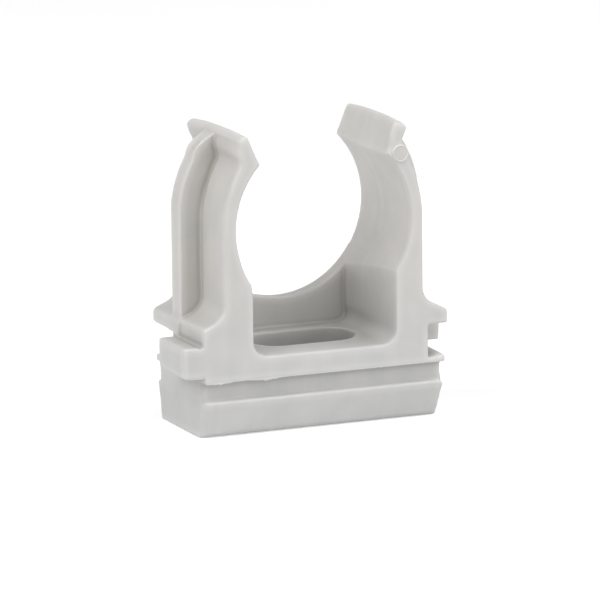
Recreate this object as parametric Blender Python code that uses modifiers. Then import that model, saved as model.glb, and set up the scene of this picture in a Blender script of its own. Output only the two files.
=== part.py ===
# Conduit clip, moulded in one piece from light grey plastic.
# It snaps over a rigid conduit from above, its wedge foot snaps into a mounting rail,
# and the tabs and pockets at its ends lock neighbouring clips into a row.
# X runs along the foot, Y along the conduit with the window's side at -Y, Z up from the foot's underside.

import bpy
import bmesh
from math import atan2, cos, pi, radians, sin, sqrt, tan
from mathutils import Vector

mm = 0.001

# Conduit seat
conduit_diameter = 25 * mm
seat_grip = 0.1 * mm
seat_draft = 0.3 * mm
clip_depth = 17.3 * mm
seat_steps = 120

# Levels, from the underside up
foot_height = 5.1 * mm
neck_height = 2.55 * mm
floor_thickness = 2.95 * mm
seat_above_floor = 16.75 * mm

# Foot and neck
foot_half_length = 17.05 * mm
foot_end_taper = 0.15 * mm
foot_front_taper = 2.1 * mm
foot_back_taper = 1.1 * mm
foot_rounding = 0.8 * mm
foot_top_rounding = 0.35 * mm
neck_inset = 1.1 * mm
neck_rounding = 0.6 * mm

# Plate and shoulders, which carry the arms
plate_half_length = 17.05 * mm
shoulder_half_length = 17.4 * mm
shoulder_end_height = 7.0 * mm
shoulder_slope = radians(24)
shoulder_fillet = 2.4 * mm
shoulder_rounding = 0.6 * mm
shoulder_relief = 0.25 * mm

# Arms and lips
arm_wall = 1.65 * mm
neck_above_seat = 9.65 * mm
neck_wall = 1.55 * mm
neck_fillet = 1.3 * mm
mouth_width = 17.9 * mm
lead_in_width = 1.75 * mm
lip_above_seat = 12.9 * mm
flare_overhang = 1.3 * mm
flare_drop = 0.9 * mm
lip_rounding = 0.5 * mm

# Stiffening rib on the outside of each arm
rib_thickness = 3.2 * mm
rib_past_middle = 0.45 * mm
rib_projection = 2.95 * mm
rib_curve_start = 2.0 * mm

# Tabs and pockets at the ends
tab_reach = 2.65 * mm
tab_height = 3.85 * mm
tab_corner = 1.8 * mm
tab_rounding = 0.35 * mm
tab_clearance = 0.3 * mm
flange_thickness = 0.55 * mm
pocket_headroom = 0.45 * mm
pocket_draft = radians(1.8)

# Window in front of the seat, and the screw slot in its floor
window_half_width = 10.15 * mm
window_side_draft = radians(3.4)
window_floor_draft = radians(2)
window_corner = 2.0 * mm
back_wall = 2.85 * mm
slot_length = 15 * mm
slot_width = 7.6 * mm

# Moulding boss on one lip, standing out past the neck under the flare
boss_diameter = 2.25 * mm
boss_height = 0.2 * mm
boss_sink = 1.2 * mm
boss_rounding = 0.12 * mm
boss_below_neck = 1.05 * mm
boss_overhang = 0.4 * mm

plastic_colour = (0.60, 0.60, 0.585, 1)
plastic_roughness = 0.5

# How far a cutter reaches past what it cuts, and a joined piece into what carries it
overreach = 1 * mm

# Worked out from the sizes above
half_depth = clip_depth / 2
foot_top = foot_height
plate_bottom = foot_top + neck_height
floor_level = plate_bottom + floor_thickness
seat_height = floor_level + seat_above_floor
seat_radius = conduit_diameter / 2 - seat_grip
arm_half = seat_radius + arm_wall
shoulder_top = plate_bottom + shoulder_end_height
pocket_wall = shoulder_half_length - tab_reach - tab_clearance / 3
flange_top = plate_bottom + flange_thickness
tab_bottom = flange_top + tab_clearance
tab_top = tab_bottom + tab_height
pocket_top = tab_top + pocket_headroom
rib_half = arm_half + rib_projection
nose_above_seat = sqrt(seat_radius**2 - (mouth_width / 2)**2)
lip_top_half = mouth_width / 2 + lead_in_width
lead_in_slope = lead_in_width / (lip_above_seat - nose_above_seat)
neck_half = mouth_width / 2 + (neck_above_seat - nose_above_seat) * lead_in_slope + neck_wall
arm_curve_radius = (neck_above_seat**2 / (arm_half - neck_half) + arm_half - neck_half) / 2
arm_curve_centre = arm_half - arm_curve_radius
flare_half = lip_top_half + flare_overhang
flare_above_seat = lip_above_seat - flare_drop
window_back = half_depth - back_wall
window_top = seat_height - seat_radius / 2
boss_above_seat = neck_above_seat - boss_below_neck
boss_wall = arm_curve_centre + sqrt(arm_curve_radius**2 - boss_above_seat**2)
boss_half = boss_wall + boss_overhang - boss_diameter / 2


# Points on an arc, both ends included
def arc(centre, radius, start, end, count):
    angles = [start + (end - start) * step / count for step in range(count + 1)]
    return [(centre[0] + radius * cos(a), centre[1] + radius * sin(a)) for a in angles]


# The angle at which an arc about its centre has risen by a height
def angle_at(height, radius):
    return atan2(height, sqrt(radius**2 - height**2))


# One corner of an outline, rounded to a radius
def rounded_corner(before, corner, after, radius, count=6):
    to_before = (Vector(before) - Vector(corner)).normalized()
    to_after = (Vector(after) - Vector(corner)).normalized()
    half_angle = to_before.angle(to_after) / 2
    middle = Vector(corner) + (to_before + to_after).normalized() * radius / sin(half_angle)
    first = Vector(corner) + to_before * radius / tan(half_angle) - middle
    last = Vector(corner) + to_after * radius / tan(half_angle) - middle
    start = atan2(first.y, first.x)
    sweep = (atan2(last.y, last.x) - start + pi) % (2 * pi) - pi
    return arc(middle, radius, start, start + sweep, count)


# Half of an outline, then its mirror image
def mirrored(half):
    return half + [(-x, z) for x, z in reversed(half)]


def add_object(name, mesh, collection):
    item = bpy.data.objects.new(name, mesh)
    collection.objects.link(item)
    return item


# A tool shape is joined to the clip or cut from it, and isn't a piece by itself
def add_tool(name, mesh):
    item = add_object(name, mesh, tools)
    item.hide_render = True
    item.display_type = "WIRE"
    return item


def mesh_from(form, name):
    mesh = bpy.data.meshes.new(name)
    form.to_mesh(mesh)
    form.free()
    return mesh


# A flat outline in XZ, made solid between two depths
def extruded_outline(name, outline, front, back):
    curve = bpy.data.curves.new(name, "CURVE")
    curve.dimensions = "2D"
    curve.fill_mode = "BOTH"
    curve.extrude = (back - front) / 2
    spline = curve.splines.new("POLY")
    spline.points.add(len(outline) - 1)
    spline.use_cyclic_u = True
    for point, (x, z) in zip(spline.points, outline):
        point.co = (x, z, 0, 1)
    holder = bpy.data.objects.new(name + "_outline", curve)
    tools.objects.link(holder)
    evaluated = holder.evaluated_get(bpy.context.evaluated_depsgraph_get())
    form = bmesh.new()
    form.from_mesh(bpy.data.meshes.new_from_object(evaluated))
    bpy.data.objects.remove(holder)
    bmesh.ops.remove_doubles(form, verts=form.verts, dist=0.0001 * mm)
    bmesh.ops.recalc_face_normals(form, faces=form.faces)
    for vertex in form.verts:
        vertex.co = (vertex.co.x, (front + back) / 2 - vertex.co.z, vertex.co.y)
    return mesh_from(form, name)


# A block between two corners, as a bmesh that its caller shapes further
def block(low, high):
    form = bmesh.new()
    bmesh.ops.create_cube(form, size=1)
    low = Vector(low)
    high = Vector(high)
    for vertex in form.verts:
        vertex.co = [(low[i] + high[i]) / 2 + vertex.co[i] * (high[i] - low[i]) for i in range(3)]
    return form


# The edges along one axis that a test picks by their middle
def edges_along(form, axis, test):
    found = []
    for edge in form.edges:
        run = edge.verts[1].co - edge.verts[0].co
        middle = (edge.verts[0].co + edge.verts[1].co) / 2
        if max(range(3), key=lambda i: abs(run[i])) == axis and test(middle):
            found.append(edge)
    return found


def round_edges(form, edges, radius, segments=5):
    bmesh.ops.bevel(form, geom=edges, offset=radius, segments=segments, profile=0.5, affect="EDGES")


# A half turn about the vertical axis gives the matching feature at the other end
def turned_copy(tool, name):
    copy = add_tool(name, tool.data)
    copy.rotation_euler.z = pi
    return copy


def combine(tool, operation):
    modifier = clip.modifiers.new(tool.name, "BOOLEAN")
    modifier.operation = operation
    modifier.solver = "EXACT"
    modifier.object = tool


# Plate, shoulders, arms and lips: one outline along the conduit's direction
def body_mesh():
    shoulder_end = (shoulder_half_length, shoulder_top)
    rise = (shoulder_half_length - arm_half) * tan(shoulder_slope)
    arm_foot = (arm_half, shoulder_top + rise)
    arm_middle = (arm_half, seat_height)
    curve_end = angle_at(neck_above_seat, arm_curve_radius)
    curve = arc((arm_curve_centre, seat_height), arm_curve_radius, 0, curve_end, 12)
    neck = curve.pop()
    flare = (flare_half, seat_height + flare_above_seat)
    lip_top = (lip_top_half, seat_height + lip_above_seat)
    nose = (mouth_width / 2, seat_height + nose_above_seat)
    lead_in = (Vector(nose) - Vector(lip_top)).normalized()
    mouth_bottom = Vector(nose) + lead_in * 2 * overreach
    curve = [point for point in curve if (Vector(point) - Vector(neck)).length > neck_fillet]
    plate_end = (plate_half_length, tab_bottom + tab_height / 4)
    shoulder_bottom = (shoulder_half_length, tab_top - tab_height / 4)
    half = [(plate_half_length, plate_bottom), plate_end, shoulder_bottom]
    half += rounded_corner(shoulder_bottom, shoulder_end, arm_foot, shoulder_rounding, 4)
    half += rounded_corner(shoulder_end, arm_foot, arm_middle, shoulder_fillet)
    half += curve
    half += rounded_corner(curve[-1], neck, flare, neck_fillet)
    half += rounded_corner(neck, flare, lip_top, lip_rounding, 4)
    half += rounded_corner(flare, lip_top, nose, lip_rounding, 4)
    half += [tuple(mouth_bottom)]
    return extruded_outline("clip", mirrored(half), -half_depth, half_depth)


# One rib: straight above the shoulder, then curving in to just inside the lip's flare
def rib_mesh():
    flare = Vector((flare_half - lip_rounding, flare_above_seat))
    start = Vector((rib_half, rib_curve_start))
    chord = start - flare
    radius = chord.length_squared / (2 * chord.x)
    centre = (rib_half - radius, seat_height + rib_curve_start)
    rise = flare_above_seat - rib_curve_start
    outer = arc(centre, radius, 0, angle_at(rise, radius), 14)
    wall_middle = arm_curve_radius - arm_wall / 2
    inner_end = angle_at(neck_above_seat, wall_middle)
    inner = arc((arm_curve_centre, seat_height), wall_middle, inner_end, 0, 10)
    base = shoulder_top - overreach
    outline = [(rib_half, base)] + outer + inner + [(arm_half - arm_wall / 2, base)]
    return extruded_outline("rib", outline, -rib_past_middle, rib_thickness - rib_past_middle)


# Relief that sets back the shoulder's end beside the rib, on the half that carries a tab
def relief_mesh():
    end = shoulder_half_length - shoulder_relief
    form = block((-shoulder_half_length - overreach, -half_depth - overreach, plate_bottom - overreach),
                 (-end, -rib_past_middle, seat_height))
    return mesh_from(form, "relief")


# Tab at the end of the front half, rounded where a neighbour's pocket takes it in
def tab_mesh():
    reach = shoulder_half_length + tab_reach
    middle = tab_bottom + tab_height / 2
    form = block((-reach, -half_depth, tab_bottom), (-shoulder_half_length + overreach, 0, tab_top))
    low_inner = edges_along(form, 0, lambda m: m.y > -half_depth / 2 and m.z < middle)
    round_edges(form, low_inner, tab_corner)
    round_edges(form, edges_along(form, 1, lambda m: m.x < -shoulder_half_length), tab_rounding, 3)
    return mesh_from(form, "tab")


# Pocket under the shoulder of the other half, wider towards the face that it opens in
def pocket_mesh():
    form = block((pocket_wall, -half_depth - overreach, flange_top),
                 (shoulder_half_length + tab_reach, 0, pocket_top))
    closing = (half_depth + overreach) * tan(pocket_draft)
    for vertex in form.verts:
        if vertex.co.y > -half_depth / 2:
            vertex.co.z += closing if vertex.co.z < tab_bottom else -closing
    return mesh_from(form, "pocket")


# Window cavity, which narrows and rises towards the wall that closes its back
def window_mesh():
    front = -half_depth - overreach
    middle = (floor_level + window_top) / 2
    form = block((-window_half_width, front, floor_level), (window_half_width, window_back, window_top))
    for vertex in form.verts:
        run = vertex.co.y + half_depth
        vertex.co.x -= run * tan(window_side_draft) * (1 if vertex.co.x > 0 else -1)
        if vertex.co.z < middle:
            vertex.co.z += run * tan(window_floor_draft)
    round_edges(form, edges_along(form, 1, lambda m: m.z < middle), window_corner, 8)
    return mesh_from(form, "window")


# Round seat: two shallow cones that meet in a crease at mid-depth
def seat_tool():
    reach = half_depth + overreach
    end_radius = seat_radius + seat_draft * overreach / half_depth
    form = bmesh.new()
    crease = (seat_radius - seat_draft, 0)
    profile = [(0, reach), (end_radius, reach), crease, (end_radius, -reach), (0, -reach)]
    ring = [form.verts.new((x, y, 0)) for x, y in profile]
    for first, second in zip(ring, ring[1:]):
        form.edges.new((first, second))
    tool = add_tool("seat", mesh_from(form, "seat"))
    tool.location.z = seat_height
    turn = tool.modifiers.new("turn", "SCREW")
    turn.axis = "Y"
    turn.steps = seat_steps
    turn.render_steps = seat_steps
    turn.use_merge_vertices = True
    turn.merge_threshold = 0.001 * mm
    return tool


# Screw slot: a long hole with round ends, straight down through floor, neck and foot
def slot_mesh():
    straight = (slot_length - slot_width) / 2
    half = arc((straight, 0), slot_width / 2, -pi / 2, pi / 2, 16)
    outline = half + [(-x, -y) for x, y in half]
    mesh = extruded_outline("slot", outline, -overreach, seat_height)
    for vertex in mesh.vertices:
        vertex.co = (vertex.co.x, -vertex.co.z, vertex.co.y)
    return mesh


# Foot: a wedge that a rail's lips spring over, with rounded lower edges
def foot_mesh():
    form = block((-foot_half_length, -half_depth, 0), (foot_half_length, half_depth, foot_top))
    for vertex in form.verts:
        if vertex.co.z < foot_top / 2:
            vertex.co.x -= foot_end_taper * (1 if vertex.co.x > 0 else -1)
            vertex.co.y += -foot_back_taper if vertex.co.y > 0 else foot_front_taper
    low = edges_along(form, 0, lambda m: m.z < foot_top / 2)
    corners = edges_along(form, 2, lambda m: True)
    round_edges(form, low + corners, foot_rounding, 4)
    top = [edge for edge in form.edges if all(v.co.z > foot_top - foot_top_rounding for v in edge.verts)]
    round_edges(form, top, foot_top_rounding, 3)
    return mesh_from(form, "foot")


def neck_mesh():
    form = block((-foot_half_length, neck_inset - half_depth, foot_top - overreach),
                 (foot_half_length, half_depth - neck_inset, plate_bottom + overreach))
    round_edges(form, edges_along(form, 2, lambda m: True), neck_rounding, 4)
    return mesh_from(form, "neck")


# Boss: a small round disc with a soft rim, standing on the front of one lip
def boss_tool():
    form = bmesh.new()
    length = boss_height + boss_sink
    bmesh.ops.create_cone(form, cap_ends=True, segments=32, radius1=boss_diameter / 2,
                          radius2=boss_diameter / 2, depth=length)
    rim = [edge for edge in form.edges if all(v.co.z > length / 3 for v in edge.verts)]
    round_edges(form, rim, boss_rounding, 3)
    tool = add_tool("boss", mesh_from(form, "boss"))
    tool.rotation_euler.x = pi / 2
    tool.location = (boss_half, -half_depth - boss_height + length / 2, seat_height + boss_above_seat)
    return tool


def plastic():
    material = bpy.data.materials.new("grey_plastic")
    material.use_nodes = True
    shader = material.node_tree.nodes["Principled BSDF"]
    shader.inputs["Base Color"].default_value = plastic_colour
    shader.inputs["Roughness"].default_value = plastic_roughness
    shader.inputs["Metallic"].default_value = 0
    return material


for item in list(bpy.data.objects):
    bpy.data.objects.remove(item)

parts = bpy.data.collections.new("conduit_clip")
tools = bpy.data.collections.new("tools")
bpy.context.scene.collection.children.link(parts)
bpy.context.scene.collection.children.link(tools)

clip = add_object("clip", body_mesh(), parts)
clip.data.materials.append(plastic())

left_rib = add_tool("left_rib", rib_mesh())
left_rib.scale.x = -1
right_rib = add_tool("right_rib", left_rib.data)
front_tab = add_tool("front_tab", tab_mesh())
back_tab = turned_copy(front_tab, "back_tab")
front_pocket = add_tool("front_pocket", pocket_mesh())
back_pocket = turned_copy(front_pocket, "back_pocket")
left_relief = add_tool("left_relief", relief_mesh())
right_relief = turned_copy(left_relief, "right_relief")

for tool in [left_relief, right_relief]:
    combine(tool, "DIFFERENCE")
for tool in [left_rib, right_rib, front_tab, back_tab, add_tool("neck", neck_mesh()),
             add_tool("foot", foot_mesh())]:
    combine(tool, "UNION")
for tool in [seat_tool(), add_tool("window", window_mesh()), front_pocket, back_pocket,
             add_tool("slot", slot_mesh())]:
    combine(tool, "DIFFERENCE")
combine(boss_tool(), "UNION")
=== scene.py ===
# Looks of a grey plastic conduit clip: soft moulded edges, lips crowned towards the parting plane,
# a ragged fin of flash along the plate, the round mark of the mould's pin, and plastic with a faint
# grain and tone. Sizes are in metres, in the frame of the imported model.

import math
import bmesh
import bpy
from mathutils import Matrix, Vector


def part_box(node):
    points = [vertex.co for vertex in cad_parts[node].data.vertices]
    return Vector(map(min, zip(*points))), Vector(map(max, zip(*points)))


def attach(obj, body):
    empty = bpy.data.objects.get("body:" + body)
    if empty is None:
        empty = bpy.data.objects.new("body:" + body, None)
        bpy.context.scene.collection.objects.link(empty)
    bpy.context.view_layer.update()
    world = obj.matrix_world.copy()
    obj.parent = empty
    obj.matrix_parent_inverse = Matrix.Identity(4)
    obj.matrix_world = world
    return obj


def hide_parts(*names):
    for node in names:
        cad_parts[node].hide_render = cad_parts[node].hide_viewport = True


mm = 0.001

print("loading the frame")
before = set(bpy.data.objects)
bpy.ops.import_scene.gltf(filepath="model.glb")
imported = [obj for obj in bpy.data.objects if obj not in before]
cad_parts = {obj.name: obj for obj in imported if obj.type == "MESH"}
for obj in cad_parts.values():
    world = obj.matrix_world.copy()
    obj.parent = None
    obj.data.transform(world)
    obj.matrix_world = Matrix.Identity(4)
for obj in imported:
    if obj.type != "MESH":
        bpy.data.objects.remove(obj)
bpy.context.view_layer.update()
clipLow, clipHigh = (Vector(corner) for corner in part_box("clip"))


# Helpers
def linkObject(name, data):
    item = bpy.data.objects.new(name, data)
    bpy.context.scene.collection.objects.link(item)
    return item


def meshObject(name, form):
    mesh = bpy.data.meshes.new(name)
    form.to_mesh(mesh)
    form.free()
    return linkObject(name, mesh)


# What the modifiers make, as a plain mesh with none left
def bakeModifiers(item):
    evaluated = item.evaluated_get(bpy.context.evaluated_depsgraph_get())
    mesh = bpy.data.meshes.new_from_object(evaluated)
    item.modifiers.clear()
    item.data = mesh
    return item


# From 0 to 1 as a value passes from one level to another, without a corner at either
def smoothRamp(value, low, high):
    part = min(max((value - low) / (high - low), 0), 1)
    return part * part * (3 - 2 * part)


def newMaterial(name):
    material = bpy.data.materials.new(name)
    material.use_nodes = True
    nodes = material.node_tree.nodes
    nodes.clear()
    return material, nodes, material.node_tree.links


# A node group with its sockets, and its own input and output nodes
def newGroup(name, kind, inputs, outputs):
    group = bpy.data.node_groups.new(name, kind)
    for label, socket, value in inputs:
        entry = group.interface.new_socket(name=label, in_out="INPUT", socket_type=socket)
        if value is not None:
            entry.default_value = value
    for label, socket in outputs:
        group.interface.new_socket(name=label, in_out="OUTPUT", socket_type=socket)
    return group, group.nodes.new("NodeGroupInput"), group.nodes.new("NodeGroupOutput")


def addMath(tree, operation, first, second):
    node = tree.nodes.new("ShaderNodeMath")
    node.operation = operation
    for socket, value in zip(node.inputs, (first, second)):
        if isinstance(value, (int, float)):
            socket.default_value = value
        else:
            tree.links.new(value, socket)
    return node.outputs[0]


# Camera, solved from the photograph
camera = {
    "azimuth": -22.73,
    "elevation": 11.58,
    "roll": -0.63,
    "lens": 423.9,
    "sensor": 36,
    "distance": 919.8 * mm,
    "target": Vector((-3.59, -8.65, 17.68)) * mm,
    "farEnd": 10,
}


def makeCamera(settings):
    azimuth, elevation, roll = (math.radians(settings[key]) for key in ("azimuth", "elevation", "roll"))
    back = Vector((math.sin(azimuth) * math.cos(elevation), -math.cos(azimuth) * math.cos(elevation),
                   math.sin(elevation)))
    right = Vector((math.cos(azimuth), math.sin(azimuth), 0))
    up = back.cross(right)
    rolledRight = right * math.cos(roll) + up * math.sin(roll)
    rolledUp = up * math.cos(roll) - right * math.sin(roll)
    data = bpy.data.cameras.new("camera")
    data.lens = settings["lens"]
    data.sensor_width = settings["sensor"]
    data.clip_end = settings["farEnd"]
    item = linkObject("camera", data)
    turn = Matrix((rolledRight, rolledUp, back)).transposed().to_4x4()
    item.matrix_world = Matrix.Translation(settings["target"] + back * settings["distance"]) @ turn
    bpy.context.scene.camera = item


print("camera")
makeCamera(camera)


# The clip itself. Its edges are softened as a mould leaves them, most along the outer edges of the arms.
# A span here is where a change starts and where it is whole
clip = {
    "voxel": 0.15 * mm,
    "triangles": 190000,
    "mergeWithin": 0.001 * mm,
    "smoothing": 0.5,
    "rounds": 5,
    "softRounds": 30,
    "leastWeight": 0.01,
    "seatHeight": 27.35 * mm,
    "armSpan": (14.5 * mm, 16.5 * mm),
    "outerSpan": (12.8 * mm, 13.4 * mm),
    "faceSpan": (4.5 * mm, 6.5 * mm),
    "foldLimit": 0.85,
    "unfoldRounds": 7,
}


# How much a point is softened: all of it where an arm's outside meets a flat face, none elsewhere
def softnessAt(point, settings):
    rise = point.z - settings["seatHeight"]
    outward = abs(point.x) if rise < 0 else math.hypot(point.x, rise)
    return (smoothRamp(point.z, *settings["armSpan"]) * smoothRamp(outward, *settings["outerSpan"])
            * smoothRamp(abs(point.y), *settings["faceSpan"]))


def addSmoothing(item, name, settings, rounds, group=""):
    soften = item.modifiers.new(name, "SMOOTH")
    soften.factor = settings["smoothing"]
    soften.iterations = rounds
    soften.vertex_group = group


def softClip(settings):
    form = bmesh.new()
    form.from_mesh(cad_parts["clip"].data)
    bmesh.ops.remove_doubles(form, verts=form.verts, dist=settings["mergeWithin"])
    item = meshObject("mouldedClip", form)
    remesh = item.modifiers.new("remesh", "REMESH")
    remesh.mode = "VOXEL"
    remesh.voxel_size = settings["voxel"]
    addSmoothing(item, "soften", settings, settings["rounds"])
    bakeModifiers(item)
    softness = item.vertex_groups.new(name="softness")
    for vertex in item.data.vertices:
        weight = softnessAt(vertex.co, settings)
        if weight > settings["leastWeight"]:
            softness.add([vertex.index], weight, "REPLACE")
    addSmoothing(item, "softenMore", settings, settings["softRounds"], "softness")
    bakeModifiers(item)
    item.vertex_groups.clear()
    thin = item.modifiers.new("thin", "DECIMATE")
    thin.ratio = min(1, settings["triangles"] / (2 * len(item.data.polygons)))
    bakeModifiers(item)
    return item


def isFolded(face, limit):
    around = sum((vertex.normal for vertex in face.verts), Vector()).normalized()
    return face.normal.dot(around) < limit


# Faces that the thinning or the shaping folded over are drawn level with what surrounds them
def unfoldFaces(mesh, settings):
    form = bmesh.new()
    form.from_mesh(mesh)
    for _ in range(settings["unfoldRounds"]):
        form.normal_update()
        folded = {vertex for face in form.faces if isFolded(face, settings["foldLimit"])
                  for vertex in face.verts}
        places = []
        for vertex in folded:
            total = sum((edge.other_vert(vertex).co for edge in vertex.link_edges), Vector())
            places.append((vertex, total / len(vertex.link_edges)))
        for vertex, place in places:
            vertex.co = place
        print("  vertices of folded faces:", len(folded))
    form.to_mesh(mesh)
    form.free()


# What the mould did that the plain solid lacks: crowned lips, a filled neck under the left lip, a step
# where its halves met, a window that narrows behind, and a foot whose front turns a little.
# A span is where a change starts and where it is whole, and a spot is its middle and its reach
shaping = {
    "lips": {
        "heights": (36.5 * mm, 38.8 * mm),
        "spreadPower": 1.5,
        "left": {"peak": 0.5, "rise": 0.02 * mm, "frontDrop": 0.15 * mm, "backDrop": 0.3 * mm,
                 "spread": 0.5 * mm},
        "right": {"peak": 0.38, "rise": 0.3 * mm, "frontDrop": 0.28 * mm, "backDrop": 0.35 * mm, "spread": 0},
    },
    "neck": {
        "noseHeight": 36.05 * mm,
        "noseHalf": 8.95 * mm,
        "leadInSlope": 0.417,
        "heightSpot": (37.3 * mm, 1.75 * mm),
        "fill": 0.75 * mm,
        "fillBehind": 0.42 * mm,
        "outsideSpan": (0.3 * mm, 1.1 * mm),
        "behindSpan": (0.45, 0.8),
        "cornerShift": 0.5 * mm,
        "insideSpan": (0.2 * mm, 0.9 * mm),
        "frontSpan": (6.6 * mm, 8.4 * mm),
        "cornerSpan": (36.4 * mm, 38.8 * mm),
    },
    "arc": {
        "ribSpot": (1.15 * mm, 2.0 * mm),
        "ribFrom": 14.1 * mm,
        "ribTuck": 0.14 * mm,
        "ribTuckSpot": (6 * mm, 4.5 * mm),
        "seatOpen": 0.17 * mm,
        "seatOpenSpot": (-6.5 * mm, 3.5 * mm),
        "partingPlace": 1.3 * mm,
        "partingWidth": 0.24 * mm,
        "partingStep": 0.14 * mm,
    },
    "window": {
        "below": 23 * mm,
        "tuck": 0.5 * mm,
        "wallSpot": (9.7 * mm, 2.2 * mm),
        "back": 5.8 * mm,
        "backWallSpan": (6.4 * mm, 8 * mm),
        "floorSpan": (11.5 * mm, 13.5 * mm),
        "topSpan": (20.6 * mm, 22.5 * mm),
        "slideSpan": (16 * mm, 18.5 * mm),
    },
    "tabs": {
        "from": 17.5 * mm,
        "top": 12.3 * mm,
        "topBand": 0.9 * mm,
        "topWhole": 0.3 * mm,
        "liftWidth": 0.5 * mm,
        "lift": 0.16 * mm,
        "liftBehind": 0.14 * mm,
        "cornerAcross": 1.8 * mm,
        "cornerHeight": 10.3 * mm,
        "cornerReach": 2 * mm,
        "cornerWidth": 0.3 * mm,
        "cornerFill": 0.7,
    },
    "shoulders": {
        "lift": 0.2 * mm,
        "acrossSpot": (15.4 * mm, 2.2 * mm),
        "heightSpot": (17.6 * mm, 2.6 * mm),
        "undersideLift": 0.2 * mm,
        "undersideSpot": (12.5 * mm, 1.2 * mm),
        "undersideSpan": (0.5 * mm, 1.5 * mm),
    },
    "flange": {
        "acrossSpan": (14.6 * mm, 16.6 * mm),
        "lift": 0.28 * mm,
        "undersideSpan": (7.8 * mm, 8.0 * mm),
        "topSpan": (8.6 * mm, 9.6 * mm),
    },
    "foot": {
        "top": 5.3 * mm,
        "endDrop": 0.4 * mm,
        "endDropAbove": 0.2 * mm,
        "endDropAcross": (16.0 * mm, 17.2 * mm),
        "endDropHeights": (3.8 * mm, 4.8 * mm),
        "edgeLift": 0.2 * mm,
        "edgeHeight": 0.6 * mm,
        "edgeSpan": (7.6 * mm, 8.2 * mm),
        "neckEndTuck": 0.23 * mm,
        "neckEndSpot": (6.4 * mm, 1.4 * mm),
        "cornerTuck": 0.08 * mm,
        "cornerSpan": (0.3 * mm, 1.6 * mm),
        "tuckAcross": (15.5 * mm, 16.4 * mm),
        "endSpread": 0.15 * mm,
        "endSpreadFrom": 16 * mm,
        "endSpreadBelow": 2.5 * mm,
        "twist": 0.45 * mm,
        "twistSpan": (4 * mm, 8 * mm),
    },
}


def bump(value, middle, reach):
    return smoothRamp(1 - min(abs(value - middle) / reach, 1), 0, 1)


def crownLip(point, along, settings):
    amount = smoothRamp(point.z, *settings["heights"])
    lip = settings["left"] if point.x < 0 else settings["right"]
    if along < lip["peak"]:
        drop = lip["frontDrop"] * ((lip["peak"] - along) / lip["peak"]) ** 2
    else:
        drop = lip["backDrop"] * ((along - lip["peak"]) / (1 - lip["peak"])) ** 2
    point.z += amount * (lip["rise"] - drop)
    point.x -= amount * lip["spread"] * along ** settings["spreadPower"]


# The left lip's neck is filled from outside, and the right lip's front corner leans into the mouth
def shapeNeck(point, along, settings, ribSpot):
    mouth = settings["noseHalf"] + max(point.z - settings["noseHeight"], 0) * settings["leadInSlope"]
    if point.x < 0:
        outside = smoothRamp(-point.x - mouth, *settings["outsideSpan"])
        beside = 1 - bump(point.y, *ribSpot)
        behind = smoothRamp(along, *settings["behindSpan"])
        depth = settings["fill"] + (settings["fillBehind"] - settings["fill"]) * behind
        point.x -= outside * beside * depth * bump(point.z, *settings["heightSpot"])
    else:
        inside = 1 - smoothRamp(point.x - mouth, *settings["insideSpan"])
        front = smoothRamp(-point.y, *settings["frontSpan"])
        point.x -= inside * front * settings["cornerShift"] * smoothRamp(point.z, *settings["cornerSpan"])


# Each rib's curve is tucked in, the seat's left side opens a little, and the seat steps back by a hair
# behind the plane where the mould's halves met
def shapeArc(point, settings):
    rise = point.z - clip["seatHeight"]
    reach = math.hypot(point.x, rise)
    seatEdge = clip["outerSpan"][0]
    ribMiddle, ribReach = settings["ribSpot"]
    if reach > settings["ribFrom"] and abs(point.y - ribMiddle) < ribReach:
        tuck = settings["ribTuck"] * bump(rise, *settings["ribTuckSpot"])
        point.x -= point.x / reach * tuck
        point.z -= rise / reach * tuck
    if reach < seatEdge and point.x < 0:
        point.x -= settings["seatOpen"] * bump(rise, *settings["seatOpenSpot"])
    if reach < seatEdge and rise > -seatEdge / 2:
        half = settings["partingWidth"] / 2
        behind = smoothRamp(point.y - settings["partingPlace"], -half, half)
        point.x += point.x / reach * behind * settings["partingStep"]


# The window's side walls lean in towards the back wall, and their top edges slide down the seat
def shapeWindow(point, settings):
    side = bump(abs(point.x), *settings["wallSpot"])
    depth = (smoothRamp(point.y, clipLow.y, settings["back"])
             * (1 - smoothRamp(point.y, *settings["backWallSpan"])))
    level = smoothRamp(point.z, *settings["floorSpan"]) * (1 - smoothRamp(point.z, *settings["topSpan"]))
    shift = settings["tuck"] * side * depth * level
    point.x -= math.copysign(shift, point.x)
    point.z -= shift * smoothRamp(point.z, *settings["slideSpan"])


# The tabs' tops stand a little higher, and their low inner corners are nearly square
def shapeTabs(point, along, settings):
    outward = abs(point.x)
    if outward <= settings["from"]:
        return
    if abs(point.z - settings["top"]) < settings["topBand"]:
        outer = smoothRamp(outward, settings["from"], settings["from"] + settings["liftWidth"])
        lift = settings["lift"] + settings["liftBehind"] * (along if point.x < 0 else 1 - along)
        point.z += outer * lift * smoothRamp(point.z, settings["top"] - settings["topBand"],
                                             settings["top"] - settings["topWhole"])
    side = math.copysign(1, point.x)
    inward = settings["cornerAcross"] - point.y * side
    below = settings["cornerHeight"] - point.z
    if min(inward, below) > 0 and max(inward, below) < settings["cornerReach"]:
        outer = smoothRamp(outward, settings["from"], settings["from"] + settings["cornerWidth"])
        square = (math.hypot(inward, below) / max(inward, below) - 1) * settings["cornerFill"] * outer
        point.y -= inward * square * side
        point.z -= below * square


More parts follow.
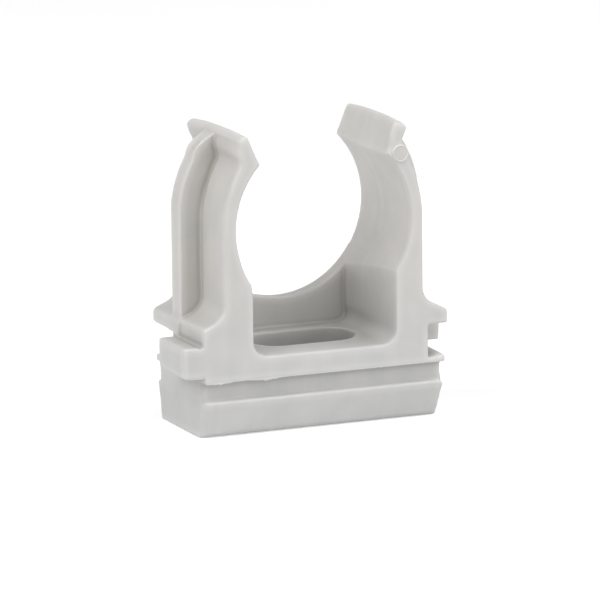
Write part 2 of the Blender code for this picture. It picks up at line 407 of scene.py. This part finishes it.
def shapeShouldersAndFlange(point, shoulders, flange):
    lift = bump(abs(point.x), *shoulders["acrossSpot"]) * bump(point.z, *shoulders["heightSpot"])
    point.z += shoulders["lift"] * lift
    if abs(point.x) > flange["acrossSpan"][0]:
        level = smoothRamp(point.z, *flange["undersideSpan"]) * (1 - smoothRamp(point.z, *flange["topSpan"]))
        turned = point.x if point.y < 0 else -point.x
        point.z += flange["lift"] * level * smoothRamp(turned, *flange["acrossSpan"])
        if point.x < 0:
            under = smoothRamp(point.y, *shoulders["undersideSpan"])
            point.z += shoulders["undersideLift"] * under * bump(point.z, *shoulders["undersideSpot"])


# The foot turns a little at its front, and its right end and the neck's above it are a little smaller
def shapeFoot(point, settings):
    lowest, whole = settings["endDropHeights"]
    if lowest < point.z < settings["top"] + settings["endDropAbove"] and point.x > 0:
        point.z -= (settings["endDrop"] * smoothRamp(point.x, *settings["endDropAcross"])
                    * smoothRamp(point.z, lowest, whole))
    if point.z < settings["edgeHeight"] and point.y < 0:
        edge = smoothRamp(-point.y, *settings["edgeSpan"]) * (1 - point.z / settings["edgeHeight"])
        point.z += settings["edgeLift"] * edge * max(point.x, 0) / clipHigh.x
    neckEnd = settings["neckEndTuck"] * bump(point.z, *settings["neckEndSpot"])
    corner = settings["cornerTuck"] * (1 - smoothRamp(point.z, *settings["cornerSpan"]))
    point.x -= (neckEnd + corner) * smoothRamp(point.x, *settings["tuckAcross"])
    if point.z < settings["endSpreadBelow"] and point.x < -settings["endSpreadFrom"]:
        point.x -= settings["endSpread"] * (1 - point.z / settings["endSpreadBelow"])
    if point.z < settings["top"] and point.y < 0:
        lower = 1 - point.z / settings["top"]
        front = smoothRamp(-point.y, *settings["twistSpan"])
        point.y += settings["twist"] * lower * point.x / clipHigh.x * front


def shapeClip(mesh, settings):
    depth = clipHigh.y - clipLow.y
    neckMiddle, neckReach = settings["neck"]["heightSpot"]
    for vertex in mesh.vertices:
        point = vertex.co
        along = (point.y - clipLow.y) / depth
        if point.z > neckMiddle - neckReach:
            shapeNeck(point, along, settings["neck"], settings["arc"]["ribSpot"])
            crownLip(point, along, settings["lips"])
        elif point.z < settings["window"]["below"]:
            shapeWindow(point, settings["window"])
            shapeTabs(point, along, settings["tabs"])
            shapeShouldersAndFlange(point, settings["shoulders"], settings["flange"])
            shapeFoot(point, settings["foot"])
        shapeArc(point, settings["arc"])


print("clip")
mouldedClip = softClip(clip)
shapeClip(mouldedClip.data, shaping)
unfoldFaces(mouldedClip.data, clip)
mouldedClip.data.shade_smooth()
print("  triangles:", sum(len(face.vertices) - 2 for face in mouldedClip.data.polygons))


# Round mark of the mould's pin on the right lip: a shallow disc inside a raised rim
pinMark = {
    "place": Vector((10.78, -8.65, 35.95)) * mm,
    "radius": 1.12 * mm,
    "stand": 0.26 * mm,
    "rimWidth": 0.2 * mm,
    "dish": 0.1 * mm,
    "dishSlope": 1.5,
    "skirt": 0.1 * mm,
    "sink": 0.5 * mm,
    "steps": 48,
    "rimSteps": 6,
}


# The mark's section, from its middle out over the rim and back into the lip, turned about its axis
def makePinMark(settings):
    radius, stand, rim = settings["radius"], settings["stand"], settings["rimWidth"]
    floor = stand - settings["dish"]
    section = [(radius - settings["dishSlope"] * rim, floor)]
    for step in range(settings["rimSteps"] + 1):
        angle = math.pi * (1 - step / settings["rimSteps"])
        section.append((radius - rim / 2 + rim / 2 * math.cos(angle),
                        stand - rim / 2 + rim / 2 * math.sin(angle)))
    section.append((radius + settings["skirt"], -settings["sink"]))
    form = bmesh.new()
    top, base = form.verts.new((0, 0, floor)), form.verts.new((0, 0, -settings["sink"]))
    strips = []
    for step in range(settings["steps"]):
        angle = 2 * math.pi * step / settings["steps"]
        strips.append([form.verts.new((across * math.cos(angle), across * math.sin(angle), height))
                       for across, height in section])
    for strip, following in zip(strips, strips[1:] + strips[:1]):
        form.faces.new((top, strip[0], following[0]))
        for inner, outer, nextOuter, nextInner in zip(strip, strip[1:], following[1:], following):
            form.faces.new((inner, outer, nextOuter, nextInner))
        form.faces.new((strip[-1], base, following[-1]))
    bmesh.ops.recalc_face_normals(form, faces=form.faces)
    turn = Matrix.Translation(settings["place"]) @ Matrix.Rotation(math.pi / 2, 4, "X")
    bmesh.ops.transform(form, matrix=turn, verts=form.verts)
    item = meshObject("pinMark", form)
    item.data.shade_smooth()
    return item


print("pin mark")
pinDisc = makePinMark(pinMark)


# Flash: the thin ragged fin that a worn mould leaves along an edge, grown by Geometry Nodes
flash = {
    "thickness": 0.12 * mm,
    "columns": 340,
    "rows": 5,
    "mergeWithin": 0.001 * mm,
    "noiseDetail": 3,
    "seedStep": 0.37,
    "evenSwing": 0.2,
    "lowerReach": -2,
    "plate": {"low": -16.95 * mm, "high": 16.8 * mm, "top": 8.05 * mm, "face": -8.62 * mm, "drop": 0.42 * mm,
              "ragged": 0.26 * mm, "scale": 2200, "seed": 3, "firstBurst": 1.8 * mm, "secondBurst": 8.6 * mm,
              "burstReach": 2.4 * mm, "evenPart": 0.35},
    "tab": {"low": -19.6 * mm, "high": -17.2 * mm, "top": 8.85 * mm, "face": -8.58 * mm, "drop": 0.36 * mm,
            "ragged": 0.16 * mm, "scale": 1100, "seed": 8, "firstBurst": 0.9 * mm, "secondBurst": 2.2 * mm,
            "burstReach": 1.0 * mm, "evenPart": 0.3},
}


def makeFlashTree(settings):
    inputs = [("Length", "NodeSocketFloat", 0.03), ("Drop", "NodeSocketFloat", 0.0003),
              ("Ragged", "NodeSocketFloat", 0.0002), ("Scale", "NodeSocketFloat", 400.0),
              ("Seed", "NodeSocketFloat", 0.0), ("Thickness", "NodeSocketFloat", 0.0001),
              ("First Burst", "NodeSocketFloat", 0.002), ("Second Burst", "NodeSocketFloat", 0.009),
              ("Burst Reach", "NodeSocketFloat", 0.002), ("Even Part", "NodeSocketFloat", 0.3),
              ("Columns", "NodeSocketInt", 200), ("Rows", "NodeSocketInt", 5),
              ("Plastic", "NodeSocketMaterial", None)]
    tree, sizes, result = newGroup("flashFin", "GeometryNodeTree", inputs, [("Geometry", "NodeSocketGeometry")])
    nodes, links = tree.nodes, tree.links
    sheet = nodes.new("GeometryNodeMeshGrid")
    links.new(sizes.outputs["Length"], sheet.inputs["Size X"])
    links.new(sizes.outputs["Drop"], sheet.inputs["Size Y"])
    links.new(sizes.outputs["Columns"], sheet.inputs["Vertices X"])
    links.new(sizes.outputs["Rows"], sheet.inputs["Vertices Y"])
    place = nodes.new("GeometryNodeInputPosition")
    parts = nodes.new("ShaderNodeSeparateXYZ")
    links.new(place.outputs[0], parts.inputs[0])
    noise = nodes.new("ShaderNodeTexNoise")
    noise.noise_dimensions = "2D"
    noise.inputs["Detail"].default_value = settings["noiseDetail"]
    reach = nodes.new("ShaderNodeCombineXYZ")
    links.new(parts.outputs["X"], reach.inputs["X"])
    links.new(addMath(tree, "MULTIPLY", sizes.outputs["Seed"], settings["seedStep"]), reach.inputs["Y"])
    links.new(reach.outputs[0], noise.inputs["Vector"])
    links.new(sizes.outputs["Scale"], noise.inputs["Scale"])
    lowness = addMath(tree, "SUBTRACT", 0.5, addMath(tree, "DIVIDE", parts.outputs["Y"], sizes.outputs["Drop"]))
    half = addMath(tree, "MULTIPLY", sizes.outputs["Length"], 0.5)
    fromStart = addMath(tree, "ADD", parts.outputs["X"], half)
    strength = sizes.outputs["Even Part"]
    for burst in ("First Burst", "Second Burst"):
        away = addMath(tree, "ABSOLUTE", addMath(tree, "SUBTRACT", fromStart, sizes.outputs[burst]), 0.0)
        near = addMath(tree, "SUBTRACT", 1.0, addMath(tree, "DIVIDE", away, sizes.outputs["Burst Reach"]))
        strength = addMath(tree, "ADD", strength, addMath(tree, "MAXIMUM", near, 0.0))
    swing = addMath(tree, "MULTIPLY", noise.outputs[0], strength)
    swing = addMath(tree, "SUBTRACT", swing, settings["evenSwing"])
    shift = addMath(tree, "MULTIPLY", addMath(tree, "MULTIPLY", swing, sizes.outputs["Ragged"]), lowness)
    offset = nodes.new("ShaderNodeCombineXYZ")
    links.new(addMath(tree, "MULTIPLY", shift, settings["lowerReach"]), offset.inputs["Y"])
    ragged = nodes.new("GeometryNodeSetPosition")
    links.new(sheet.outputs["Mesh"], ragged.inputs["Geometry"])
    links.new(offset.outputs[0], ragged.inputs["Offset"])
    thick = nodes.new("GeometryNodeExtrudeMesh")
    thick.inputs["Individual"].default_value = False
    links.new(ragged.outputs[0], thick.inputs["Mesh"])
    links.new(sizes.outputs["Thickness"], thick.inputs["Offset Scale"])
    back = nodes.new("GeometryNodeFlipFaces")
    links.new(ragged.outputs[0], back.inputs[0])
    both = nodes.new("GeometryNodeJoinGeometry")
    links.new(thick.outputs["Mesh"], both.inputs[0])
    links.new(back.outputs[0], both.inputs[0])
    closed = nodes.new("GeometryNodeMergeByDistance")
    closed.inputs["Distance"].default_value = settings["mergeWithin"]
    links.new(both.outputs[0], closed.inputs[0])
    real = nodes.new("GeometryNodeRealizeInstances")
    links.new(closed.outputs[0], real.inputs[0])
    painted = nodes.new("GeometryNodeSetMaterial")
    links.new(real.outputs[0], painted.inputs["Geometry"])
    links.new(sizes.outputs["Plastic"], painted.inputs["Material"])
    links.new(painted.outputs[0], result.inputs[0])
    return tree


# One fin: the tree's sheet, stood upright at its edge, as a plain mesh
def growFlash(name, tree, edge, settings, material):
    item = linkObject(name, bpy.data.meshes.new(name))
    values = {"Length": edge["high"] - edge["low"], "Drop": edge["drop"], "Ragged": edge["ragged"],
              "Scale": float(edge["scale"]), "Seed": float(edge["seed"]), "Thickness": settings["thickness"],
              "First Burst": edge["firstBurst"], "Second Burst": edge["secondBurst"],
              "Burst Reach": edge["burstReach"], "Even Part": edge["evenPart"],
              "Columns": settings["columns"], "Rows": settings["rows"], "Plastic": material}
    grow = item.modifiers.new("grow", "NODES")
    grow.node_group = tree
    for socket in tree.interface.items_tree:
        if socket.in_out == "INPUT":
            grow[socket.identifier] = values[socket.name]
    bakeModifiers(item)
    middle = Vector(((edge["low"] + edge["high"]) / 2, edge["face"] + settings["thickness"],
                     edge["top"] - edge["drop"] / 2))
    item.data.transform(Matrix.Translation(middle) @ Matrix.Rotation(math.pi / 2, 4, "X"))
    item.data.shade_smooth()
    return item


# Shader effects shared by the materials
effectSizes = {
    "driftDetail": 2,
    "streakScale": 650,
    "streakStretch": (1, 1, 0.06),
    "streakDetail": 3,
    "grainDetail": 3,
    "closenessSamples": 12,
}


def addNoise(group, place, scale, detail):
    noise = group.nodes.new("ShaderNodeTexNoise")
    noise.inputs["Detail"].default_value = detail
    group.links.new(place, noise.inputs["Vector"])
    if isinstance(scale, (int, float)):
        noise.inputs["Scale"].default_value = scale
    else:
        group.links.new(scale, noise.inputs["Scale"])
    return noise.outputs[0]


def addMix(group, amount, first, second):
    mix = group.nodes.new("ShaderNodeMix")
    mix.data_type = "RGBA"
    for label, value in (("Factor", amount), ("A", first), ("B", second)):
        socket = next(entry for entry in mix.inputs
                      if entry.name == label and entry.type in ("RGBA", "VALUE") and entry.enabled)
        group.links.new(value, socket)
    return next(entry for entry in mix.outputs if entry.enabled)


# Slow drift between two tones, with the faint upright streaks of the clip's drag out of the mould; from about
# half the given height to one and a half times it the tones change to a warmer, lighter pair, which is painted
# light
def makeToneDriftAndPaintedLight(sizes):
    inputs = [("Low Pale", "NodeSocketColor", None), ("Low Dull", "NodeSocketColor", None),
              ("High Pale", "NodeSocketColor", None), ("High Dull", "NodeSocketColor", None),
              ("Painted Light Height", "NodeSocketFloat", 0.013), ("Scale", "NodeSocketFloat", 60.0),
              ("Contrast", "NodeSocketFloat", 2.0), ("Streaks", "NodeSocketFloat", 0.4)]
    group, given, result = newGroup("toneDriftAndPaintedLight", "ShaderNodeTree", inputs, [("Color", "NodeSocketColor")])
    place = group.nodes.new("ShaderNodeTexCoord").outputs["Object"]
    stretch = group.nodes.new("ShaderNodeMapping")
    stretch.inputs["Scale"].default_value = sizes["streakStretch"]
    group.links.new(place, stretch.inputs["Vector"])
    drift = addNoise(group, place, given.outputs["Scale"], sizes["driftDetail"])
    streaks = addNoise(group, stretch.outputs[0], sizes["streakScale"], sizes["streakDetail"])
    streaks = addMath(group, "MULTIPLY", addMath(group, "SUBTRACT", streaks, 0.5), given.outputs["Streaks"])
    clouds = addMath(group, "MULTIPLY", addMath(group, "SUBTRACT", drift, 0.5), given.outputs["Contrast"])
    amount = addMath(group, "ADD", addMath(group, "ADD", clouds, 0.5), streaks)
    parts = group.nodes.new("ShaderNodeSeparateXYZ")
    group.links.new(place, parts.inputs[0])
    # Painted light: the upper part is painted warmer and lighter than the foot
    above = addMath(group, "DIVIDE", parts.outputs["Z"], given.outputs["Painted Light Height"])
    high = addMath(group, "MAXIMUM", addMath(group, "SUBTRACT", above, 0.5), 0.0)
    high = addMath(group, "MINIMUM", high, 1.0)
    low = addMix(group, amount, given.outputs["Low Pale"], given.outputs["Low Dull"])
    paintedLightUpper = addMix(group, amount, given.outputs["High Pale"], given.outputs["High Dull"])
    group.links.new(addMix(group, high, low, paintedLightUpper), result.inputs["Color"])
    return group


# Painted shade that darkens hollows and creases, and a painted highlight that makes convex edges pale
def makePaintedShadeAndHighlights(sizes):
    inputs = [("Color", "NodeSocketColor", None), ("Shade", "NodeSocketColor", None),
              ("Edge", "NodeSocketColor", None), ("Crease From", "NodeSocketFloat", 0.006)]
    # Hollow and Crease mix the colour towards Shade, a painted shade, where the clip's own surfaces close in;
    # Edge mixes it towards a pale painted highlight along convex edges
    layers = (("Hollow", "Shade", False), ("Crease", "Shade", False), ("Edge", "Edge", True))
    for name, _, _ in layers:
        inputs += [(name + " Reach", "NodeSocketFloat", 0.001), (name + " Strength", "NodeSocketFloat", 0.3)]
    group, given, result = newGroup("paintedShadeAndHighlights", "ShaderNodeTree", inputs,
                                    [("Color", "NodeSocketColor")])
    parts = group.nodes.new("ShaderNodeSeparateXYZ")
    group.links.new(group.nodes.new("ShaderNodeTexCoord").outputs["Object"], parts.inputs[0])
    above = addMath(group, "GREATER_THAN", parts.outputs["Z"], given.outputs["Crease From"])
    colour = given.outputs["Color"]
    for name, paint, inside in layers:
        closeness = group.nodes.new("ShaderNodeAmbientOcclusion")
        closeness.samples = sizes["closenessSamples"]
        closeness.inside = inside
        closeness.only_local = True
        group.links.new(given.outputs[name + " Reach"], closeness.inputs["Distance"])
        closed = addMath(group, "SUBTRACT", 1.0, closeness.outputs["AO"])
        amount = addMath(group, "MULTIPLY", closed, given.outputs[name + " Strength"])
        if name == "Crease":
            amount = addMath(group, "MULTIPLY", amount, above)
        colour = addMix(group, addMath(group, "MINIMUM", amount, 1.0), colour, given.outputs[paint])
    group.links.new(colour, result.inputs["Color"])
    return group


# Fine moulded grain
def makeMouldedGrain(sizes):
    inputs = [("Scale", "NodeSocketFloat", 1500.0)]
    group, given, result = newGroup("mouldedGrain", "ShaderNodeTree", inputs, [("Height", "NodeSocketFloat")])
    place = group.nodes.new("ShaderNodeTexCoord").outputs["Object"]
    grain = addNoise(group, place, given.outputs["Scale"], sizes["grainDetail"])
    group.links.new(grain, result.inputs["Height"])
    return group


# The plastic of each piece: the same stuff, paler where it is thin, with painted light that makes it cooler and
# duller towards the foot, painted shade in its hollows and creases, and a painted highlight on its edges
plastics = {
    "greyPlastic": {"lowPale": (0.70, 0.697, 0.69, 1), "lowDull": (0.63, 0.632, 0.63, 1),
                    "highPale": (0.735, 0.71, 0.68, 1), "highDull": (0.655, 0.65, 0.628, 1),
                    "paintedLightHeight": 13 * mm, "driftScale": 230, "driftContrast": 1.8, "streaks": 0.7,
                    # Painted shade: the colour, reach and strength of the darkening in hollows and creases
                    "shade": (0.22, 0.205, 0.16, 1), "paintedShadeReach": 13 * mm, "paintedShadeStrength": 0.41,
                    "creaseShadeReach": 0.9 * mm, "creaseShadeStrength": 1.2, "creaseShadeFrom": 6.6 * mm,
                    # Painted highlight: the pale colour, reach and strength painted along convex edges
                    "edge": (0.90, 0.88, 0.85, 1), "edgeHighlightReach": 1.2 * mm, "edgeHighlightStrength": 0.95,
                    "grainScale": 1500, "grainDepth": 0.012 * mm, "roughness": 0.42},
    "thinPlastic": {"lowPale": (0.70, 0.695, 0.68, 1), "lowDull": (0.66, 0.655, 0.64, 1),
                    "highPale": (0.83, 0.81, 0.775, 1), "highDull": (0.74, 0.72, 0.69, 1),
                    "paintedLightHeight": 13 * mm, "driftScale": 500, "driftContrast": 2.0, "streaks": 0.2,
                    "shade": (0.30, 0.28, 0.23, 1), "paintedShadeReach": 2 * mm, "paintedShadeStrength": 0.3,
                    "creaseShadeReach": 0.3 * mm, "creaseShadeStrength": 0.5, "creaseShadeFrom": 0,
                    "edge": (0.93, 0.915, 0.88, 1), "edgeHighlightReach": 0.15 * mm, "edgeHighlightStrength": 0.6,
                    "grainScale": 2500, "grainDepth": 0.008 * mm, "roughness": 0.38},
}


def makePlastic(name, settings, groups):
    material, nodes, links = newMaterial(name)
    output = nodes.new("ShaderNodeOutputMaterial")
    shader = nodes.new("ShaderNodeBsdfPrincipled")
    links.new(shader.outputs["BSDF"], output.inputs["Surface"])
    wanted = {"toneDriftAndPaintedLight": {"Low Pale": "lowPale", "Low Dull": "lowDull", "High Pale": "highPale",
                            "High Dull": "highDull", "Painted Light Height": "paintedLightHeight", "Scale": "driftScale",
                            "Contrast": "driftContrast", "Streaks": "streaks"},
              "paintedShadeAndHighlights": {"Shade": "shade", "Hollow Reach": "paintedShadeReach",
                                  "Hollow Strength": "paintedShadeStrength", "Crease Reach": "creaseShadeReach",
                                  "Crease Strength": "creaseShadeStrength", "Crease From": "creaseShadeFrom",
                                  "Edge": "edge", "Edge Reach": "edgeHighlightReach",
                                  "Edge Strength": "edgeHighlightStrength"},
              "mouldedGrain": {"Scale": "grainScale"}}
    placed = {}
    for groupName, sockets in wanted.items():
        placed[groupName] = nodes.new("ShaderNodeGroup")
        placed[groupName].node_tree = groups[groupName]
        for socket, key in sockets.items():
            placed[groupName].inputs[socket].default_value = settings[key]
    links.new(placed["toneDriftAndPaintedLight"].outputs["Color"], placed["paintedShadeAndHighlights"].inputs["Color"])
    links.new(placed["paintedShadeAndHighlights"].outputs["Color"], shader.inputs["Base Color"])
    grain = nodes.new("ShaderNodeBump")
    grain.inputs["Distance"].default_value = settings["grainDepth"]
    links.new(placed["mouldedGrain"].outputs["Height"], grain.inputs["Height"])
    links.new(grain.outputs["Normal"], shader.inputs["Normal"])
    shader.inputs["Roughness"].default_value = settings["roughness"]
    return material


print("materials")
effects = {"toneDriftAndPaintedLight": makeToneDriftAndPaintedLight(effectSizes), "paintedShadeAndHighlights": makePaintedShadeAndHighlights(effectSizes),
           "mouldedGrain": makeMouldedGrain(effectSizes)}
greyPlastic, thinPlastic = (makePlastic(name, settings, effects) for name, settings in plastics.items())
mouldedClip.data.materials.clear()
mouldedClip.data.materials.append(greyPlastic)
pinDisc.data.materials.append(thinPlastic)

print("flash")
flashTree = makeFlashTree(flash)
plateFlash = growFlash("plateFlash", flashTree, flash["plate"], flash, thinPlastic)
tabFlash = growFlash("tabFlash", flashTree, flash["tab"], flash, thinPlastic)


# White floor, and the soft boxes of a small product studio, each aimed at the clip's middle
studio = {
    "floorSize": 4,
    "floorColour": (0.85, 0.85, 0.85, 1),
    "floorLift": 0.5,
    "worldStrength": 0.04,
    "aim": Vector((0, 0, 20)) * mm,
    "lampDistance": 0.9,
    "lampSize": 0.75,
    "lamps": {
        "topLeft": {"azimuth": -80, "elevation": 40, "power": 5.1},
        "topRight": {"azimuth": 70, "elevation": 50, "power": 3.3},
        "topFront": {"azimuth": -10, "elevation": 60, "power": 1.5},
        "frontRight": {"azimuth": 25, "elevation": 20, "power": 2.4},
    },
}


def makeFloor(settings):
    material, nodes, links = newMaterial("paleFloor")
    output = nodes.new("ShaderNodeOutputMaterial")
    diffuse = nodes.new("ShaderNodeBsdfDiffuse")
    diffuse.inputs["Color"].default_value = settings["floorColour"]
    glow = nodes.new("ShaderNodeEmission")
    rays = nodes.new("ShaderNodeLightPath")
    seen = addMath(material.node_tree, "MAXIMUM", rays.outputs["Is Camera Ray"], rays.outputs["Is Glossy Ray"])
    links.new(addMath(material.node_tree, "MULTIPLY", seen, settings["floorLift"]), glow.inputs["Strength"])
    both = nodes.new("ShaderNodeAddShader")
    links.new(diffuse.outputs[0], both.inputs[0])
    links.new(glow.outputs[0], both.inputs[1])
    links.new(both.outputs[0], output.inputs["Surface"])
    form = bmesh.new()
    bmesh.ops.create_grid(form, x_segments=1, y_segments=1, size=settings["floorSize"] / 2)
    item = meshObject("floor", form)
    item.data.materials.append(material)


def makeLamp(name, lamp, settings):
    azimuth, elevation = math.radians(lamp["azimuth"]), math.radians(lamp["elevation"])
    away = Vector((math.sin(azimuth) * math.cos(elevation), -math.cos(azimuth) * math.cos(elevation),
                   math.sin(elevation)))
    data = bpy.data.lights.new(name, "AREA")
    data.energy = lamp["power"]
    data.size = settings["lampSize"]
    item = linkObject(name, data)
    item.location = settings["aim"] + away * settings["lampDistance"]
    item.rotation_euler = away.to_track_quat("Z", "Y").to_euler()


# White behind the clip for the camera, and a faint even light for all else
def makeWorld(settings):
    world = bpy.data.worlds.new("studio")
    bpy.context.scene.world = world
    world.use_nodes = True
    tree = world.node_tree
    tree.nodes.clear()
    output = tree.nodes.new("ShaderNodeOutputWorld")
    ambient = tree.nodes.new("ShaderNodeBackground")
    ambient.inputs["Color"].default_value = (1, 1, 1, 1)
    ambient.inputs["Strength"].default_value = settings["worldStrength"]
    white = tree.nodes.new("ShaderNodeBackground")
    white.inputs["Color"].default_value = (1, 1, 1, 1)
    rays = tree.nodes.new("ShaderNodeLightPath")
    seen = addMath(tree, "MAXIMUM", rays.outputs["Is Camera Ray"], rays.outputs["Is Glossy Ray"])
    seen = addMath(tree, "MAXIMUM", seen, rays.outputs["Is Transmission Ray"])
    mix = tree.nodes.new("ShaderNodeMixShader")
    tree.links.new(seen, mix.inputs["Fac"])
    tree.links.new(ambient.outputs[0], mix.inputs[1])
    tree.links.new(white.outputs[0], mix.inputs[2])
    tree.links.new(mix.outputs[0], output.inputs["Surface"])


print("studio")
makeFloor(studio)
makeWorld(studio)
for lampName, lampSettings in studio["lamps"].items():
    makeLamp(lampName, lampSettings, studio)
bpy.context.scene.view_settings.view_transform = "Standard"

print("riding on the frame")
for piece in (mouldedClip, pinDisc, plateFlash, tabFlash):
    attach(piece, "root")
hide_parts("clip")
